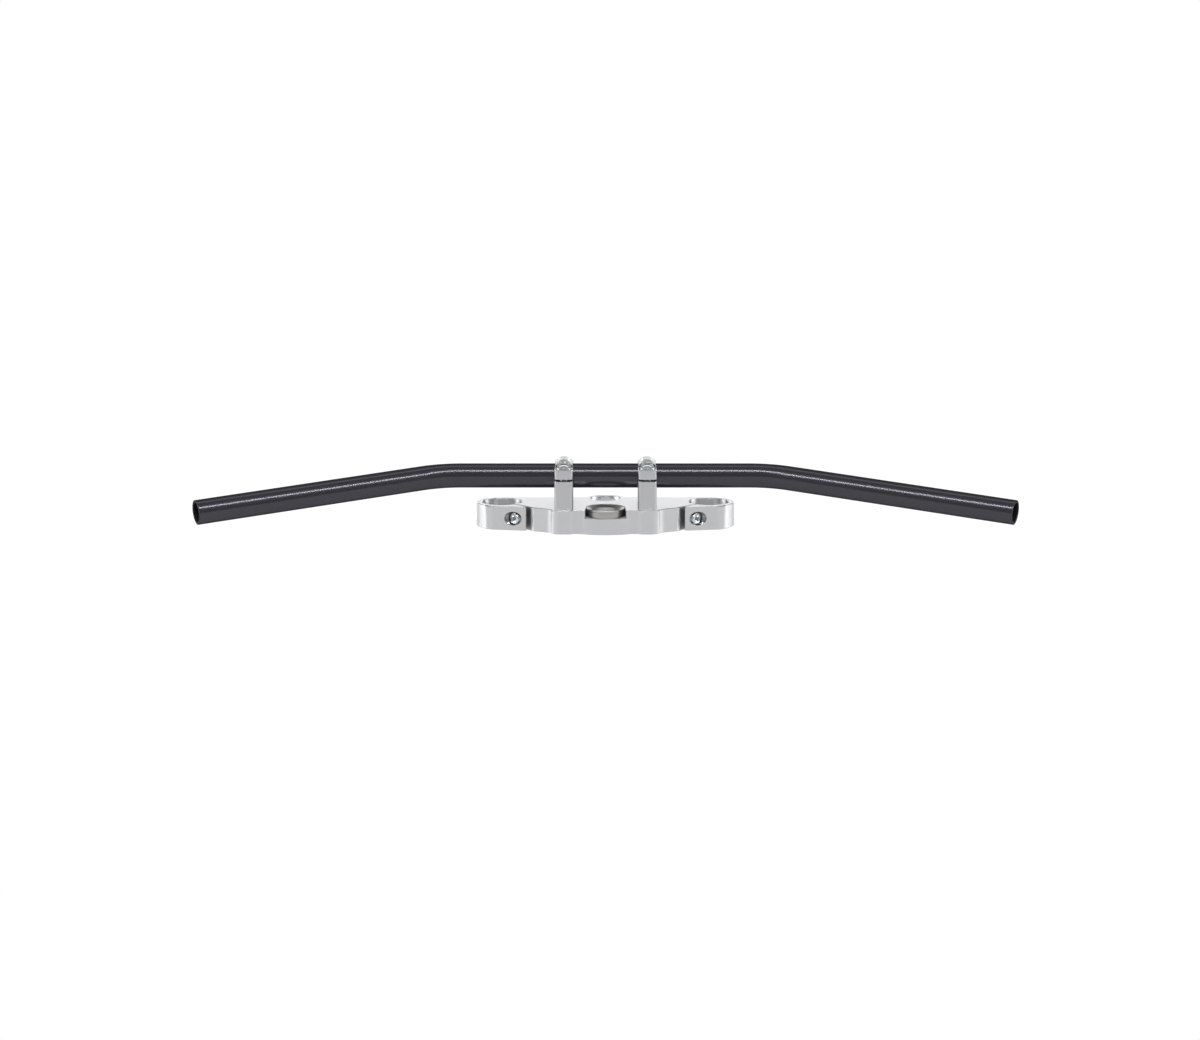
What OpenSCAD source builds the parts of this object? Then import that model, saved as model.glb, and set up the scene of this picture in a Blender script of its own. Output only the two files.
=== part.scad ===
// Low, nearly straight motorcycle handlebar on two capped risers and a milled top yoke.
// Millimetres. The origin is on the steering stem's axis, at the underside of the yoke.
// +Z is up, +Y points ahead of the motorcycle and the rider sits on the -Y side.

/* [Handlebar] */
// Outside diameter of the bar's tube
bar_d = 22.2; // [20:0.1:24]
// Wall thickness of the bar's tube
bar_wall = 2.5; // [1.6:0.1:4]
// Distance between the two corners of the bar's centre line
bar_corner_span = 300; // [260:1:340]
// Length of an arm, from the corner of the centre line to its open end
bar_arm_len = 231.5; // [180:0.5:260]
// Angle by which an arm turns away from the centre part, in degrees
bar_bend_deg = 24.8; // [12:0.2:32]
// Radius of the centre line round a bend
bar_bend_r = 86; // [60:1:110]
// Angle by which the arms dip towards the rider, in degrees
bar_dip_deg = 9.7; // [0:0.1:15]
// Chamfer on the rims of the open ends
bar_rim_chamfer = 0.4; // [0.2:0.1:0.7]
// Height of the bar's centre line above the top of the yoke
bar_rise = 27; // [25:0.5:40]
// Distance of the bar's centre line ahead of the steering stem
bar_ahead = 15; // [12:0.5:18]

/* [Risers and caps] */
// Distance between the middles of the two risers
riser_spacing = 75.5; // [68:0.5:90]
// Width of a riser and its cap along the bar
riser_w = 17; // [16.5:0.5:20]
// Length of a riser and its cap from front to back
riser_len = 57; // [54:0.5:62]
// Radius of a riser's upright edges
riser_corner_r = 3; // [1:0.5:4]
// Gap left between a riser and its cap when the bar is gripped
parting_gap = 1.8; // [0.8:0.1:2.5]
// Height of a cap's flat lugs above the middle of the bar
cap_lug_rise = 9.6; // [8:0.2:12]
// Height of the cap's crest above the middle of the bar
cap_crest_rise = 16.4; // [15.5:0.1:19]
// Distance between the two screws of a cap
cap_screw_pitch = 33.4; // [32.4:0.2:36]
// Clearance between the bar and its seat, on the radius
seat_clear = 0.1; // [0.05:0.05:0.2]

/* [Yoke] */
// Thickness of the yoke
yoke_t = 22; // [18:0.5:26]
// Distance between the axes of the two fork clamps
fork_spacing = 189.5; // [180:0.5:210]
// Distance of the fork clamps ahead of the steering stem
fork_ahead = 31.5; // [28:0.5:36]
// Bore of a fork clamp
fork_bore_d = 37; // [35:0.5:39]
// Wall round a fork clamp's bore
fork_wall = 5.1; // [4:0.1:7]
// Angle of an ear's face to the row of forks, in degrees
ear_face_deg = 10; // [7:0.5:12]
// Distance by which an ear's flat face stands proud of the wall round the bore
ear_proud = 1.2; // [0.6:0.1:2]
// Width of the slit that lets a fork clamp close
slit_w = 2.4; // [1.6:0.1:3]
// Angle of the slit to the row of forks, in degrees
slit_deg = 48.5; // [47:0.5:50]
// Chamfer round the mouths of the fork bores and the dial recess
mouth_chamfer = 0.6; // [0.3:0.1:1]
// Radius of the yoke's outer corners
corner_r = 2.5; // [1.5:0.5:3]
// Distance of the riser bosses' face behind the steering stem
boss_back = 15.6; // [15:0.1:16.5]
// Distance by which the middle of the rider's side bulges past the stem
bulge_back = 19; // [18.5:0.1:21]
// Diameter of the shallow dial recess at the front edge
dial_d = 28.5; // [24:0.5:30]
// Depth of the dial recess
dial_depth = 3; // [1:0.5:5]
// Distance of the dial recess ahead of the steering stem
dial_ahead = 48.5; // [46:0.5:52]
// Wall left ahead of the dial recess
dial_wall = 3.2; // [2.4:0.1:4]

/* [Stem bush] */
// Bore of the bush, for the top of the steering stem
stem_bore_d = 26; // [24:0.5:27]
// Diameter of the bush's flange
flange_d = 35; // [33:0.5:35.5]
// Height of the flange, which fills the pocket up to the yoke's top
flange_h = 7.4; // [5:0.1:9]
// Diameter of the bush's sleeve
sleeve_d = 30; // [29:0.5:31]
// Round lip of the bush's mouth
lip_r = 1; // [0.5:0.1:1.5]
// Clearance round the flange in its pocket
pocket_clear = 0.7; // [0.3:0.1:1]
// Radius of the corners where the pocket opens to the rider's side
pocket_corner_r = 1.4; // [0.6:0.2:2]

/* [Fasteners] */
// Diameter of the cap screws
cap_screw_d = 8; // [6:1:8]
// Length of a cap screw under its head
cap_screw_len = 25; // [20:1:26]
// Diameter of a cap screw's round head
cap_head_d = 14; // [12:0.5:14]
// Height of a cap screw's round head
cap_head_h = 4.4; // [3.6:0.1:4.6]
// Diameter of the pinch screws
pinch_d = 6; // [5:0.5:6]
// Length of a pinch screw under its head
pinch_len = 22; // [18:1:26]
// Diameter of a pinch screw's head
pinch_head_d = 10.4; // [9:0.2:10.8]
// Height of a pinch screw's head
pinch_head_h = 4; // [3.4:0.1:4.4]
// Diameter of the screws that hold the risers from below
riser_bolt_d = 10; // [8:1:10]
// Length of a riser bolt under its head
riser_bolt_len = 25; // [22:1:26]
// Diameter of a riser bolt's head
riser_head_d = 16; // [15:0.5:17]
// Height of a riser bolt's low head
riser_head_h = 6; // [5:0.5:6.5]
// Thickness of the washer under a riser bolt's head
washer_t = 2; // [1.5:0.1:2.5]
// Outside diameter of that washer
washer_d = 20; // [18:0.5:21]
// Diameter of the dowel that stops a riser turning
dowel_d = 5; // [4:0.5:5]
// Length of that dowel
dowel_len = 16; // [12:1:18]

/* [Hidden] */
$fn = 96;
// Pieces of outline arc, in degrees each
arc_step = 9;
// Clearance on the radius of a through hole, a thread and a fixed fit
hole_clear = 0.3;
thread_clear = 0.05;
fit_clear = 0.02;
// Length by which a cutting solid runs past the face that it opens
past = 1;
// Depth by which a straight side bites into a round one that it runs on from
bite = 0.02;
// Thinning of the tube's wall round a bend, on each face, and the bend's lap into the straight stretches
bend_thin = 0.06;
bend_lap_deg = 0.3;
// Small chamfer on the tips of the fasteners
tip_chamfer = 0.6;
// Drill's point allowance under a fastener's tip
drill_room = 1.5;
// Chamfer round a cylinder head's top, and the room round the heads in their counterbores
head_edge = 0.5;
cap_head_room = 0.3;
pinch_head_room = 1.15;
// Hexagon sockets, across flats
cap_hex = 5;
pinch_hex = 5;
riser_hex = 8;
socket_depth = 2.6;

bar_r = bar_d / 2;
bar_z = yoke_t + bar_rise;
seat_r = bar_r + seat_clear;
tangent_len = bar_bend_r * tan(bar_bend_deg / 2);

cap_z0 = bar_z + parting_gap / 2;
riser_top = bar_z - parting_gap / 2;
lug_z = bar_z + cap_lug_rise;
arch_r = riser_w / 2;
arch_z = bar_z + cap_crest_rise - arch_r;
head_room_r = cap_head_d / 2 + cap_head_room;
cap_rim_h = 0.6;

fork_x = fork_spacing / 2;
fork_r = fork_bore_d / 2;
ring_r = fork_r + fork_wall;
front_y = fork_ahead + ring_r - bite;
fork_at = [fork_x, fork_ahead];
slit_dir = [-cos(slit_deg), -sin(slit_deg)];
pinch_dir = [-sin(slit_deg), cos(slit_deg)];
slit_len = 2 * ring_r;

// The outer end of an ear runs onto the ring at this angle from straight back, in a round of this radius
ear_end_deg = 55;
ear_end_r = 18;
ear_tip_r = 1;
face_dir = [cos(ear_face_deg), sin(ear_face_deg)];
face_out = [sin(ear_face_deg), -cos(ear_face_deg)];
face_off = ring_r + ear_proud;
ear_end = fork_at + (ring_r - bite) * [sin(ear_end_deg), -cos(ear_end_deg)];
ear_turn = ear_end_deg - ear_face_deg;
ear_start = fork_at + face_off * face_out;
ear_corner = ear_start + (ring_r - bite - face_off * cos(ear_turn)) / sin(ear_turn) * face_dir;

// Outside the ring the slit is a little wider, by this much on each side
mouth_ease = 0.1;
mouth_half = slit_w / 2 + mouth_ease;
// Point beside the slit, at these distances outwards from the fork's axis and across towards the body
function beside_slit(out, across) = fork_at + out * slit_dir + across * pinch_dir;
mouth_in = ring_r - 2;
tip_out = (face_off - mouth_half * cos(slit_deg - ear_face_deg)) / sin(slit_deg - ear_face_deg);
// Length by which the body's side of the slit runs out past the ear's tip, and the round at its end
body_past_tip = 5.2;
body_out_r = 3;
ear_tip = beside_slit(tip_out, -mouth_half);

// The screw's line crosses the ear's face at this share of its length from the tip
pinch_share = 0.48;
pinch_at = ear_tip + pinch_share * (ear_start - ear_tip);
pinch_mouth_r = pinch_head_d / 2 + pinch_head_room;
pinch_sunk = 1.1;
pinch_seat = pinch_sunk + pinch_head_h;
pinch_z = yoke_t / 2;
// Distance along the screw's line from the ear's face to the middle of the slit
slit_cross = (pinch_at - fork_at) * -pinch_dir;

riser_x = riser_spacing / 2;
boss_out = riser_x + riser_w / 2;
// The bosses are trimmed towards the middle, and their flanks run out onto the body and the valley
boss_trim = 2.9;
boss_in = riser_x - riser_w / 2 + boss_trim;
flank_run = 4;
body_back = 7;
valley_run = 3;
valley_step = 2.3;
valley_x = boss_in - valley_run;
valley_back = boss_back - valley_step;
// Half the width of the bulge, how far it stands out, its round, and the longest piece of that round
bulge_half = 23;
bulge_out = bulge_back - valley_back;
bulge_r = (bulge_half * bulge_half + bulge_out * bulge_out) / (2 * bulge_out);
bulge_piece = 4;
// Straight lead into the pocket's opening, and the last point before the middle
pocket_lead = 2;
middle_gap = 1;
// The nose ahead of the dial: its corner and round as shares of the dial's radius, and its foot
dial_r = dial_d / 2;
dial_edge_y = dial_ahead + dial_r + dial_wall;
nose_share = 0.62;
nose_round = 0.8;
nose_foot = 2;
nose_foot_r = 6;

flange_r = flange_d / 2;
pocket_r = flange_r + pocket_clear;
pocket_z = yoke_t - flange_h;

riser_head_sunk = 1.5;
riser_seat_z = riser_head_sunk + riser_head_h + washer_t;
washer_room = 0.5;
dowel_ahead = 9.2;
dowel_z = yoke_t - dowel_len / 2;

SIDES = [["left", -1], ["right", 1]];
ENDS = [["front", 1], ["rear", -1]];

// Points of the round that replaces corner "here", a point with its radius as third number
function unit(v) = v / norm(v);
function turn(a) = a > 180 ? a - 360 : a < -180 ? a + 360 : a;
function flat2(p) = [p[0], p[1]];
function corner_arc(before, here, after) =
    let (
        a = unit(flat2(before) - flat2(here)),
        b = unit(flat2(after) - flat2(here)),
        half = acos(a * b) / 2,
        reach = here[2] / tan(half),
        mid = flat2(here) + unit(a + b) * here[2] / sin(half),
        from = flat2(here) + a * reach - mid,
        to = flat2(here) + b * reach - mid,
        start = atan2(from[1], from[0]),
        sweep = turn(atan2(to[1], to[0]) - start),
        steps = max(1, ceil(abs(sweep) / arc_step))
    )
    [for (i = [0 : steps]) mid + here[2] * [cos(start + sweep * i / steps), sin(start + sweep * i / steps)]];

// An outline with each corner rounded by its own radius, or left sharp where that is 0
function rounded(corners) =
    let (n = len(corners))
    [for (i = [0 : n - 1])
        each corners[i][2] > 0
            ? corner_arc(corners[(i + n - 1) % n], corners[i], corners[(i + 1) % n])
            : [flat2(corners[i])]];

function mirrored(points) = [for (i = [len(points) - 1 : -1 : 0]) [-points[i][0], points[i][1], points[i][2]]];

// The rider's side bulge, from its edge at x1 towards the middle
function bulge_y(x) = bulge_r - bulge_back - sqrt(bulge_r * bulge_r - x * x);
function bulge_points(x1, x0) =
    let (steps = ceil((x1 - x0) / bulge_piece))
    [for (i = [0 : steps]) let (x = x1 + (x0 - x1) * i / steps) [x, bulge_y(x), 0]];

// A point as a corner of an outline, sharp or rounded by r
function corner(p, r = 0) = [p[0], p[1], r];

// Right half of the yoke's outline, from the middle of its front edge round to the rider's side
function half_outline(opened) = concat(
    [
        [dial_r * nose_share, dial_edge_y, dial_r * nose_round],
        [dial_r + dial_wall + nose_foot, front_y, nose_foot_r],
        [fork_x, front_y, 0],
        corner(fork_at),
        corner(ear_end),
        corner(ear_corner, ear_end_r),
        corner(ear_tip, ear_tip_r),
        corner(beside_slit(mouth_in, -mouth_half)),
        corner(beside_slit(mouth_in, mouth_half)),
        corner(beside_slit(tip_out + body_past_tip, mouth_half), body_out_r),
        [boss_out + flank_run, -body_back, corner_r],
        [boss_out, -boss_back, corner_r],
        [boss_in, -boss_back, corner_r],
        [valley_x, -valley_back, corner_r]
    ],
    opened
        ? concat(
            bulge_points(bulge_half, pocket_r + pocket_lead),
            [[pocket_r, bulge_y(pocket_r), pocket_corner_r], [pocket_r, 0, 0]]
        )
        : bulge_points(bulge_half, middle_gap)
);

module yoke_layer(h, opened) {
    half = half_outline(opened);
    linear_extrude(h) polygon(rounded(concat(half, mirrored(half))));
    for (side = SIDES) translate([side[1] * fork_x, fork_ahead, 0]) cylinder(h = h, r = ring_r);
}

// Hole through h with a chamfer at both mouths
module through_bore(r, h, chamfer) {
    translate([0, 0, -past]) cylinder(h = h + 2 * past, r = r);
    translate([0, 0, h - chamfer]) cylinder(h = chamfer + past, r1 = r, r2 = r + chamfer + past);
    translate([0, 0, -past]) cylinder(h = chamfer + past, r1 = r + chamfer + past, r2 = r);
}

// Puts a right-hand shape on the side given by s, and mirrors it for the left
module on_side(s) {
    if (s > 0) children();
    else mirror([1, 0, 0]) children();
}

// Turns a shape whose axis is Z onto a pinch screw's line: z = 0 on the ear's face, +Z outwards
module on_pinch_line() {
    translate([pinch_at[0], pinch_at[1], pinch_z])
        rotate([0, 0, atan2(-pinch_dir[1], -pinch_dir[0])])
            rotate([0, 90, 0])
                children();
}

module hex_socket(across, depth) {
    translate([0, 0, -depth]) cylinder(h = depth + past, r = across / 2 / cos(30), $fn = 6);
}

// Plain shank that hangs down from z = 0, with a chamfered tip
module shank(d, length) {
    translate([0, 0, -length]) cylinder(h = tip_chamfer, r1 = d / 2 - tip_chamfer, r2 = d / 2);
    translate([0, 0, tip_chamfer - length]) cylinder(h = length - tip_chamfer, r = d / 2);
}

// Cylinder head with a hexagon socket, standing on z = 0
module socket_screw(d, length, head_d, head_h, hex) {
    difference() {
        union() {
            shank(d, length);
            cylinder(h = head_h - head_edge, r = head_d / 2);
            translate([0, 0, head_h - head_edge])
                cylinder(h = head_edge, r1 = head_d / 2, r2 = head_d / 2 - head_edge);
        }
        translate([0, 0, head_h]) hex_socket(hex, socket_depth);
    }
}

// Button head with a hexagon socket, standing on z = 0
module button_screw(d, length, head_d, head_h, hex) {
    dome_h = head_h - cap_rim_h;
    dome_r = (pow(head_d / 2, 2) + dome_h * dome_h) / (2 * dome_h);
    difference() {
        union() {
            shank(d, length);
            cylinder(h = cap_rim_h, r = head_d / 2);
            intersection() {
                translate([0, 0, head_h - dome_r]) sphere(r = dome_r);
                cylinder(h = head_h, r = head_d / 2);
            }
        }
        translate([0, 0, head_h]) hex_socket(hex, socket_depth);
    }
}

// Turns a shape whose axis is Z onto the right arm, with z = 0 at the distance from the corner
module on_arm(distance) {
    translate([bar_corner_span / 2, 0, 0])
        rotate([0, 0, -bar_bend_deg])
            translate([distance, 0, 0])
                rotate([0, 90, 0])
                    children();
}

// The bar is a tube in three kinds of stretch: centre, bends and arms with chamfered rims
module handlebar() {
    bore_r = bar_r - bar_wall;
    arm_h = bar_arm_len - tangent_len;
    centre_h = bar_corner_span - 2 * tangent_len;
    c = bar_rim_chamfer;
    color("#2e2f33")
        translate([0, bar_ahead, bar_z])
            rotate([bar_dip_deg, 0, 0]) {
                translate([-centre_h / 2, 0, 0]) rotate([0, 90, 0]) difference() {
                    cylinder(h = centre_h, r = bar_r);
                    translate([0, 0, -past]) cylinder(h = centre_h + 2 * past, r = bore_r);
                }
                for (side = SIDES) on_side(side[1]) {
                    translate([bar_corner_span / 2 - tangent_len, -bar_bend_r, 0])
                        rotate([0, 0, 90 - bar_bend_deg - bend_lap_deg])
                            rotate_extrude(angle = bar_bend_deg + 2 * bend_lap_deg)
                                translate([bar_bend_r, 0]) difference() {
                                    circle(r = bar_r - bend_thin);
                                    circle(r = bore_r + bend_thin);
                                }
                    on_arm(tangent_len) rotate_extrude() polygon([
                        [bore_r, 0], [bar_r, 0], [bar_r, arm_h - c], [bar_r - c, arm_h],
                        [bore_r + c, arm_h], [bore_r, arm_h - c]
                    ]);
                }
            }
}

module top_yoke() {
    color("#c4c5c8")
        difference() {
            union() {
                yoke_layer(pocket_z, false);
                translate([0, 0, pocket_z]) yoke_layer(flange_h, true);
            }
            translate([0, 0, pocket_z]) cylinder(h = flange_h + past, r = pocket_r);
            translate([0, 0, -past]) cylinder(h = yoke_t, r = sleeve_d / 2 + fit_clear);
            translate([0, dial_ahead, yoke_t - dial_depth]) cylinder(h = dial_depth + past, r = dial_r);
            translate([0, dial_ahead, yoke_t - mouth_chamfer])
                cylinder(h = mouth_chamfer + past, r1 = dial_r, r2 = dial_r + mouth_chamfer + past);
            for (side = SIDES) on_side(side[1]) {
                fork_clamp_cuts();
                riser_mount_cuts();
            }
        }
}

// The fork's bore, the slit through its wall and the pinch screw's stepped hole
module fork_clamp_cuts() {
    translate([fork_x, fork_ahead, 0]) {
        through_bore(fork_r, yoke_t, mouth_chamfer);
        rotate([0, 0, atan2(slit_dir[1], slit_dir[0])])
            translate([0, -slit_w / 2, -past])
                cube([slit_len, slit_w, yoke_t + 2 * past]);
    }
    on_pinch_line() {
        translate([0, 0, -pinch_seat]) cylinder(h = pinch_seat + pinch_mouth_r, r = pinch_mouth_r);
        translate([0, 0, -slit_cross]) cylinder(h = slit_cross, r = pinch_d / 2 + hole_clear);
        translate([0, 0, -pinch_seat - pinch_len - drill_room])
            cylinder(h = pinch_len + drill_room, r = pinch_d / 2 + thread_clear);
    }
}

module riser_mount_cuts() {
    translate([riser_x, bar_ahead, 0]) {
        translate([0, 0, -past]) cylinder(h = yoke_t + 2 * past, r = riser_bolt_d / 2 + hole_clear);
        translate([0, 0, -past]) cylinder(h = riser_seat_z + past, r = washer_d / 2 + washer_room);
        translate([0, dowel_ahead, dowel_z - drill_room])
            cylinder(h = dowel_len, r = dowel_d / 2 + fit_clear);
    }
}

module stem_bush() {
    bore_r = stem_bore_d / 2;
    color("#9b9a94")
        rotate_extrude()
            difference() {
                union() {
                    translate([bore_r, 0]) square([sleeve_d / 2 - bore_r, yoke_t - lip_r]);
                    translate([bore_r, pocket_z]) square([flange_r - bore_r, flange_h - lip_r]);
                    translate([bore_r + lip_r, pocket_z]) square([flange_r - bore_r - 2 * lip_r, flange_h]);
                    translate([bore_r + lip_r, yoke_t - lip_r]) circle(r = lip_r);
                    translate([flange_r - lip_r, yoke_t - lip_r]) circle(r = lip_r);
                }
                translate([bore_r - past, yoke_t]) square([flange_r, past]);
            }
}

// Outline of a riser or cap from above, round the middle of the bar
module riser_plan(h) {
    x = riser_w / 2;
    y = riser_len / 2;
    r = riser_corner_r;
    linear_extrude(h) polygon(rounded([[x, y, r], [-x, y, r], [-x, -y, r], [x, -y, r]]));
}

module bar_seat() {
    translate([-riser_w, 0, bar_z]) rotate([0, 90, 0]) cylinder(h = 2 * riser_w, r = seat_r);
}

module riser() {
    difference() {
        translate([0, 0, yoke_t]) riser_plan(riser_top - yoke_t);
        bar_seat();
        for (end = ENDS) translate([0, end[1] * cap_screw_pitch / 2, lug_z - cap_screw_len - drill_room])
            cylinder(h = cap_screw_len, r = cap_screw_d / 2 + thread_clear);
        translate([0, 0, yoke_t - past])
            cylinder(
                h = riser_seat_z - washer_t + riser_bolt_len + drill_room - yoke_t + past,
                r = riser_bolt_d / 2 + thread_clear
            );
        translate([0, dowel_ahead, yoke_t - past])
            cylinder(h = past + dowel_len / 2 + drill_room, r = dowel_d / 2 + fit_clear);
    }
}

// Arched cap: full height over the bar, milled down to flat lugs at the screws
module cap() {
    lug_len = (riser_len - cap_screw_pitch) / 2 + past;
    difference() {
        intersection() {
            translate([0, 0, cap_z0]) riser_plan(arch_z + arch_r - cap_z0);
            translate([0, riser_len, 0]) rotate([90, 0, 0]) linear_extrude(2 * riser_len) {
                translate([-arch_r, 0]) square([riser_w, arch_z]);
                translate([0, arch_z]) circle(r = arch_r);
            }
        }
        bar_seat();
        for (end = ENDS) {
            translate([0, end[1] * cap_screw_pitch / 2, 0]) {
                translate([0, 0, cap_z0 - past]) cylinder(h = cap_lug_rise + past, r = cap_screw_d / 2 + hole_clear);
                translate([0, 0, lug_z]) cylinder(h = cap_crest_rise, r = head_room_r);
                translate([-riser_w, end[1] > 0 ? 0 : -lug_len, lug_z])
                    cube([2 * riser_w, lug_len, cap_crest_rise]);
            }
        }
    }
}

module riser_washer() {
    translate([riser_x, bar_ahead, riser_seat_z - washer_t]) difference() {
        cylinder(h = washer_t, r = washer_d / 2);
        translate([0, 0, -past]) cylinder(h = washer_t + 2 * past, r = riser_bolt_d / 2 + hole_clear);
    }
}

module riser_bolt() {
    translate([riser_x, bar_ahead, riser_seat_z - washer_t])
        rotate([180, 0, 0])
            socket_screw(riser_bolt_d, riser_bolt_len, riser_head_d, riser_head_h, riser_hex);
}

module riser_dowel() {
    translate([riser_x, bar_ahead + dowel_ahead, dowel_z]) {
        cylinder(h = dowel_len - tip_chamfer, r = dowel_d / 2);
        translate([0, 0, dowel_len - tip_chamfer])
            cylinder(h = tip_chamfer, r1 = dowel_d / 2, r2 = dowel_d / 2 - tip_chamfer);
    }
}

module cap_screw(end) {
    translate([riser_x, bar_ahead + end * cap_screw_pitch / 2, lug_z])
        button_screw(cap_screw_d, cap_screw_len, cap_head_d, cap_head_h, cap_hex);
}

module pinch_screw() {
    on_pinch_line()
        translate([0, 0, -pinch_seat])
            socket_screw(pinch_d, pinch_len, pinch_head_d, pinch_head_h, pinch_hex);
}

handlebar();
top_yoke();
stem_bush();
for (side = SIDES) {
    color("#c8c8c8") translate([side[1] * riser_x, bar_ahead, 0]) riser();
    color("#cdcdcd") translate([side[1] * riser_x, bar_ahead, 0]) cap();
    color("#e2e4e6") on_side(side[1]) pinch_screw();
    color("#6f7276") on_side(side[1]) riser_bolt();
    color("#d9dadc") on_side(side[1]) riser_washer();
    color("#a9abae") on_side(side[1]) riser_dowel();
    for (end = ENDS)
        color("#dfe1e3") on_side(side[1]) cap_screw(end[1]);
}
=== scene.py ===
"""Low motorcycle handlebar in two capped risers on a milled top yoke.

The construction comes from the frame. This script breaks the edges of the milled yoke, risers and caps. It
models the bent tube, the turned bush and washers and the threaded screws anew, gives every surface its finish,
and sets the light, the floor and the camera.
"""

import logging
import math
from collections.abc import Callable, Mapping, Sequence
from dataclasses import dataclass
from enum import Enum

import bmesh
import bpy
from mathutils import Euler, Matrix, Vector


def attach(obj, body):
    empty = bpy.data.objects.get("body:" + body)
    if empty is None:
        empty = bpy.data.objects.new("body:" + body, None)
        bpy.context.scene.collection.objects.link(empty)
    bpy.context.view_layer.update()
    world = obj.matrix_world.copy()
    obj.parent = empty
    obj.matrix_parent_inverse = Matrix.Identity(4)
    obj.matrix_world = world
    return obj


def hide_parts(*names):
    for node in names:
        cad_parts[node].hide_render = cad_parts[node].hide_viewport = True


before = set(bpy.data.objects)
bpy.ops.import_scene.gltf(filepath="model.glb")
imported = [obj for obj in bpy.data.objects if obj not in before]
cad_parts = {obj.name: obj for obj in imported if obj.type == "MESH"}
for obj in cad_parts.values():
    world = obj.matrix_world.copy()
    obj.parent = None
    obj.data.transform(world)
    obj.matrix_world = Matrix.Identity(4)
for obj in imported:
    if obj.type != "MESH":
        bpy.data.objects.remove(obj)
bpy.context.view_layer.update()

MM = 0.001
BODY = "root"
LOG = logging.getLogger("handlebar")
SIDES = (("left", -1), ("right", 1))
ENDS = (("front", 1), ("rear", -1))
NEAR_MM = 0.01  # Two places closer than this are one
WALL_MM = 0.02  # The middle of a round wall's face is no further than this from the true wall
ROUND_PROFILE = 0.5  # Blender's profile for a circular bevel
MERGE = 1e-6  # Distance in metres under which doubled points are merged


def linear(hex_colour: str) -> tuple[float, float, float, float]:
    """Turns an sRGB hex value into linear light.

    Args:
        hex_colour: Six hex digits with a leading mark, such as #8a8d90.

    Returns:
        Red, green, blue and an alpha of 1.
    """
    parts = [int(hex_colour[i:i + 2], 16) / 255 for i in (1, 3, 5)]
    red, green, blue = (c / 12.92 if c <= 0.04045 else ((c + 0.055) / 1.055) ** 2.4 for c in parts)
    return red, green, blue, 1.0


def add_node(
    tree: bpy.types.NodeTree,
    kind: str,
    inputs: Mapping[int | str, object] | None = None,
    **settings: object,
) -> bpy.types.Node:
    """Adds a node with its settings and links.

    Args:
        tree: The node tree that takes the node.
        kind: The node's type, such as ShaderNodeTexNoise.
        inputs: A value, or another node's socket, for each socket by name or number.
        settings: The node's own properties.

    Returns:
        The new node.
    """
    node = tree.nodes.new(kind)
    for key, value in settings.items():
        setattr(node, key, value)
    for key, value in (inputs or {}).items():
        if isinstance(value, bpy.types.NodeSocket):
            tree.links.new(value, node.inputs[key])
        else:
            node.inputs[key].default_value = value
    return node


@dataclass(frozen=True)
class Finish:
    """A surface with its colour, gloss and the marks that its making left."""

    name: str
    slot: str
    colour: str
    shade: str
    roughness: float
    roughness_swing: float = 0.02
    mark_mm: float = 0.42
    mark_depth_mm: float = 0.012
    metallic: float = 1.0

    def marks(self, tree: bpy.types.NodeTree) -> bpy.types.NodeSocket:
        """Gives the height of the surface's marks, from 0 to 1.

        Args:
            tree: The material's node tree.

        Returns:
            The socket that carries the height.
        """
        raise NotImplementedError

    def material(self) -> bpy.types.Material:
        """Builds the finish once and returns it from then on.

        Returns:
            The procedural material.
        """
        ready = bpy.data.materials.get(self.name)
        if ready:
            return ready
        made = bpy.data.materials.new(self.name)
        made.use_nodes = True
        tree = made.node_tree
        shader = tree.nodes["Principled BSDF"]
        height = self.marks(tree)
        tone = add_node(
            tree, "ShaderNodeMix",
            {"Factor": height, 6: linear(self.shade), 7: linear(self.colour)},
            data_type="RGBA",
        )
        least, most = self.roughness - self.roughness_swing, self.roughness + self.roughness_swing
        gloss = add_node(tree, "ShaderNodeMapRange", {"Value": height, 3: least, 4: most})
        bump = add_node(
            tree, "ShaderNodeBump",
            {"Height": height, "Strength": 1.0, "Distance": self.mark_depth_mm * MM},
        )
        shader.inputs["Metallic"].default_value = self.metallic
        tree.links.new(tone.outputs[2], shader.inputs["Base Color"])
        tree.links.new(gloss.outputs["Result"], shader.inputs["Roughness"])
        tree.links.new(bump.outputs["Normal"], shader.inputs["Normal"])
        self.adjust(tree, shader)
        return made

    def adjust(self, tree: bpy.types.NodeTree, shader: bpy.types.Node) -> None:
        """Sets what only this finish has on its shader."""


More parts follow.
